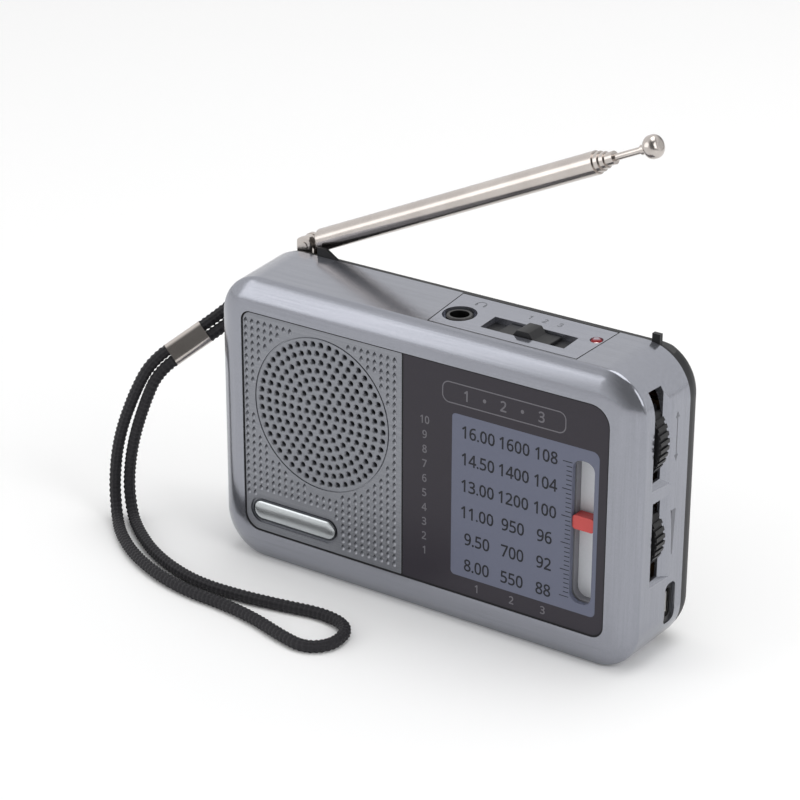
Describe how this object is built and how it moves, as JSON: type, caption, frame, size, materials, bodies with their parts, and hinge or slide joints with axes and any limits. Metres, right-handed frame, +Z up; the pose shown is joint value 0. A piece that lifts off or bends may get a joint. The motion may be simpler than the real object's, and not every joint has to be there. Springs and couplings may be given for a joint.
{
  "type": "pocket shortwave receiver",
  "caption": "Pocket shortwave receiver with a drilled speaker grille, a numbered dial with a red pointer, side thumbwheels, a telescopic antenna and a wrist strap.",
  "frame": {"origin": "middle of the casing's base, on the surface it stands on", "axes": "+X to the right of someone who faces the dial, +Y from the dial to the back, +Z up"},
  "size_m": [0.1521, 0.0599, 0.1198],
  "materials": {
    "casing": "satin silver paint",
    "grille": "textured silver paint",
    "badge": "satin",
    "lens": "smoked",
    "pale_strip": "satin",
    "dark_plastic": "fine grain",
    "pointer": "gloss",
    "steel": "satin",
    "string": "waxed",
    "wheel": "ribbed",
    "board": "resin board",
    "black_part": "moulded",
    "clear_film": "milky",
    "tin": "tinned",
    "cone": "paper",
    "magnet": "sintered",
    "ferrite": "sintered",
    "copper": "enamelled",
    "top_panel": "satin silver paint",
    "lamp": "clear red",
    "battery": "wrapped",
    "gold": "plated",
    "nickel": "polished",
    "braid": "woven"
  },
  "bodies": {
    "casing": {"front_shell": "casing", "grille_plate": "grille", "badge": "badge", "dial_lens": "lens", "dial_backing": "dark_plastic", "dial_strip": "pale_strip", "pointer_rod": "steel", "cord_pulleys": "steel", "dial_cord": "string", "circuit_board": "board", "board_screws": "steel", "tuning_capacitor": "clear_film", "volume_control": "black_part", "radio_chip": "black_part", "coil_cans": "tin", "capacitors": "black_part", "usb_socket": "tin", "speaker_frame": "steel", "speaker_cone": "cone", "speaker_magnet": "magnet", "ferrite_rod": "ferrite", "ferrite_coil": "copper", "top_plate": "top_panel", "headphone_jack": "black_part", "jack_ring": "nickel", "band_switch": "black_part", "switch_plate": "black_part", "tuning_lamp": "lamp", "back_cover": "dark_plastic", "strap_bar": "steel", "case_screws": "steel", "battery_pack": "battery", "battery_contacts": "gold", "strap_ferrule": "nickel", "strap_loop": "braid", "strap_cord": "braid"},
    "tuning": {"tuning_wheel": "wheel", "tuning_shaft": "steel", "tuning_screw": "steel"},
    "pointer": {"pointer": "pointer"},
    "volume": {"volume_wheel": "wheel", "volume_shaft": "steel", "volume_screw": "steel"},
    "band": {"band_slider": "dark_plastic"},
    "door": {"battery_door": "dark_plastic"},
    "fork": {"antenna_fork": "nickel", "antenna_pin": "nickel"},
    "tube_1": {"antenna_knuckle": "nickel", "antenna_tube_1": "nickel"},
    "tube_2": {"antenna_tube_2": "nickel"},
    "tube_3": {"antenna_tube_3": "nickel"},
    "tube_4": {"antenna_tube_4": "nickel"},
    "whip": {"antenna_whip": "nickel", "antenna_knob": "nickel"}
  },
  "joints": [
    {"name": "tuning_turn", "type": "hinge", "parent": "casing", "child": "tuning", "pos_m": [0.04845, -0.005, 0.0553], "axis": [0, 1, 0], "range_deg": [-92, 124]},
    {"name": "pointer_slide", "type": "slide", "parent": "casing", "child": "pointer", "axis": [0, 0, 1], "range_m": [-0.0169, 0.0126]},
    {"name": "volume_turn", "type": "hinge", "parent": "casing", "child": "volume", "pos_m": [0.0496, -0.0045, 0.0317], "axis": [0, 1, 0], "range_deg": [-150, 150]},
    {"name": "band_slide", "type": "slide", "parent": "casing", "child": "band", "axis": [1, 0, 0], "range_m": [-0.004, 0.004]},
    {"name": "door_hinge", "type": "hinge", "parent": "casing", "child": "door", "pos_m": [0.01, 0.0132, 0.0103], "axis": [-1, 0, 0], "range_deg": [0, 95]},
    {"name": "antenna_swivel", "type": "hinge", "parent": "casing", "child": "fork", "pos_m": [-0.0484, 0.0105, 0.07465], "axis": [0, 0, 1], "range_deg": [0, 180]},
    {"name": "antenna_tilt", "type": "hinge", "parent": "fork", "child": "tube_1", "pos_m": [-0.0484, 0.0105, 0.07465], "axis": [0, -1, 0], "range_deg": [-24.5, 65.5]},
    {"name": "tube_2_slide", "type": "slide", "parent": "tube_1", "child": "tube_2", "axis": [0.91, 0, 0.4147], "range_m": [0, 0.077]},
    {"name": "tube_3_slide", "type": "slide", "parent": "tube_2", "child": "tube_3", "axis": [0.91, 0, 0.4147], "range_m": [0, 0.0763]},
    {"name": "tube_4_slide", "type": "slide", "parent": "tube_3", "child": "tube_4", "axis": [0.91, 0, 0.4147], "range_m": [0, 0.0756]},
    {"name": "whip_slide", "type": "slide", "parent": "tube_4", "child": "whip", "axis": [0.91, 0, 0.4147], "range_m": [0, 0.0758]}
  ],
  "couplings": [
    {"joint": "pointer_slide", "follows": "tuning_turn", "m_per_rad": -0.0078}
  ]
}
